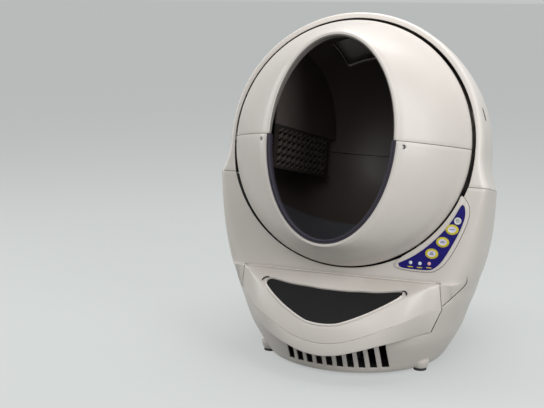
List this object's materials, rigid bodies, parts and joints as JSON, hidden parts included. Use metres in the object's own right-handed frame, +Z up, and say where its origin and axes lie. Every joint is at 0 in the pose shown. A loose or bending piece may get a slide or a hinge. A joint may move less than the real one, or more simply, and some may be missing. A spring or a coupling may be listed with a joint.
{
  "type": "self cleaning litter box",
  "caption": "Self cleaning litter box: a tilted globe turns on rollers in a base with a waste drawer, a sloping step, a button panel and a hinged bonnet.",
  "frame": {"origin": "middle of the footprint, on the floor", "axes": "+Z up, -Y the front with the mouth, +X the side with the button panel"},
  "size_m": [0.6, 0.6498, 0.7458],
  "materials": {
    "shell": "satin warm white",
    "charcoal": "matte dark grey",
    "rubber": "matte",
    "black": "matte",
    "blue": "semi gloss",
    "lilac": "semi gloss",
    "grey": "semi gloss",
    "steel": "plain",
    "green": "circuit board",
    "lens": "clear frosted",
    "lens_red": "frosted",
    "nylon": "natural"
  },
  "bodies": {
    "base": {"base_shell": "shell", "deck": "charcoal", "floor_plate": "charcoal", "foot_front_left": "rubber", "foot_front_right": "rubber", "foot_rear_left": "rubber", "foot_rear_right": "rubber", "hinge_pin": "steel", "bracket_left": "charcoal", "bracket_right": "charcoal", "axle_front_left": "steel", "axle_front_right": "steel", "axle_rear_left": "steel", "axle_rear_right": "steel", "gearbox": "steel", "motor": "steel", "drawer_runner_left": "charcoal", "drawer_runner_right": "charcoal", "panel_bezel": "shell", "panel_membrane": "blue", "circuit_board": "green", "lamp_left": "lens", "lamp_middle": "lens", "lamp_right": "lens_red", "power_inlet": "black"},
    "bonnet": {"bonnet": "shell"},
    "globe": {"globe_upper": "shell", "globe_lower": "shell", "lining_upper": "charcoal", "lining_lower": "charcoal", "entry_lip": "rubber", "globe_hub": "charcoal", "port_seal": "rubber", "globe_screw_left": "steel", "globe_screw_right": "steel", "sifting_screen": "charcoal", "screen_wall": "charcoal", "drive_ring": "black"},
    "pinion": {"drive_pinion": "nylon", "motor_shaft": "steel"},
    "roller_front_left": {"roller_front_left": "nylon"},
    "roller_front_right": {"roller_front_right": "nylon"},
    "roller_rear_left": {"roller_rear_left": "nylon"},
    "roller_rear_right": {"roller_rear_right": "nylon"},
    "drawer": {"drawer_front": "shell", "step_pad": "rubber", "waste_bin": "charcoal", "carbon_filter": "black", "filter_holder": "charcoal"},
    "button_power": {"button_power": "grey"},
    "button_cycle": {"button_cycle": "lilac"},
    "button_empty": {"button_empty": "lilac"},
    "button_reset": {"button_reset": "lilac"}
  },
  "joints": [
    {"name": "globe_spin", "type": "hinge", "parent": "base", "child": "globe", "pos_m": [0, -0.12995, 0.473], "axis": [0, -0.9744, 0.225], "continuous": true},
    {"name": "bonnet_hinge", "type": "hinge", "parent": "base", "child": "bonnet", "pos_m": [0, 0.30824, 0.29281], "axis": [-1, 0, 0], "range_deg": [0, 65]},
    {"name": "drawer_slide", "type": "slide", "parent": "base", "child": "drawer", "axis": [0, -1, 0], "range_m": [0, 0.225]},
    {"name": "pinion_spin", "type": "hinge", "parent": "base", "child": "pinion", "pos_m": [0.13049, 0.13603, 0.22033], "axis": [0, -0.9744, 0.225], "continuous": true},
    {"name": "roller_front_left_spin", "type": "hinge", "parent": "base", "child": "roller_front_left", "pos_m": [-0.16715, -0.14885, 0.25779], "axis": [0, -0.9744, 0.225], "continuous": true},
    {"name": "roller_front_right_spin", "type": "hinge", "parent": "base", "child": "roller_front_right", "pos_m": [0.16715, -0.14885, 0.25779], "axis": [0, -0.9744, 0.225], "continuous": true},
    {"name": "roller_rear_left_spin", "type": "hinge", "parent": "base", "child": "roller_rear_left", "pos_m": [-0.09875, 0.15896, 0.23076], "axis": [0, -0.9744, 0.225], "continuous": true},
    {"name": "roller_rear_right_spin", "type": "hinge", "parent": "base", "child": "roller_rear_right", "pos_m": [0.09875, 0.15896, 0.23076], "axis": [0, -0.9744, 0.225], "continuous": true},
    {"name": "button_power_press", "type": "slide", "parent": "base", "child": "button_power", "axis": [0, 0.9744, -0.225], "range_m": [0, 0.001], "stiffness_N_per_m": 300, "springref_m": -0.001},
    {"name": "button_cycle_press", "type": "slide", "parent": "base", "child": "button_cycle", "axis": [0, 0.9744, -0.225], "range_m": [0, 0.001], "stiffness_N_per_m": 300, "springref_m": -0.001},
    {"name": "button_empty_press", "type": "slide", "parent": "base", "child": "button_empty", "axis": [0, 0.9744, -0.225], "range_m": [0, 0.001], "stiffness_N_per_m": 300, "springref_m": -0.001},
    {"name": "button_reset_press", "type": "slide", "parent": "base", "child": "button_reset", "axis": [0, 0.9744, -0.225], "range_m": [0, 0.001], "stiffness_N_per_m": 300, "springref_m": -0.001}
  ],
  "couplings": [
    {"joint": "pinion_spin", "follows": "globe_spin", "ratio": -6},
    {"joint": "roller_front_left_spin", "follows": "globe_spin", "ratio": -19.846},
    {"joint": "roller_front_right_spin", "follows": "globe_spin", "ratio": -19.846},
    {"joint": "roller_rear_left_spin", "follows": "globe_spin", "ratio": -16.909},
    {"joint": "roller_rear_right_spin", "follows": "globe_spin", "ratio": -16.909}
  ]
}
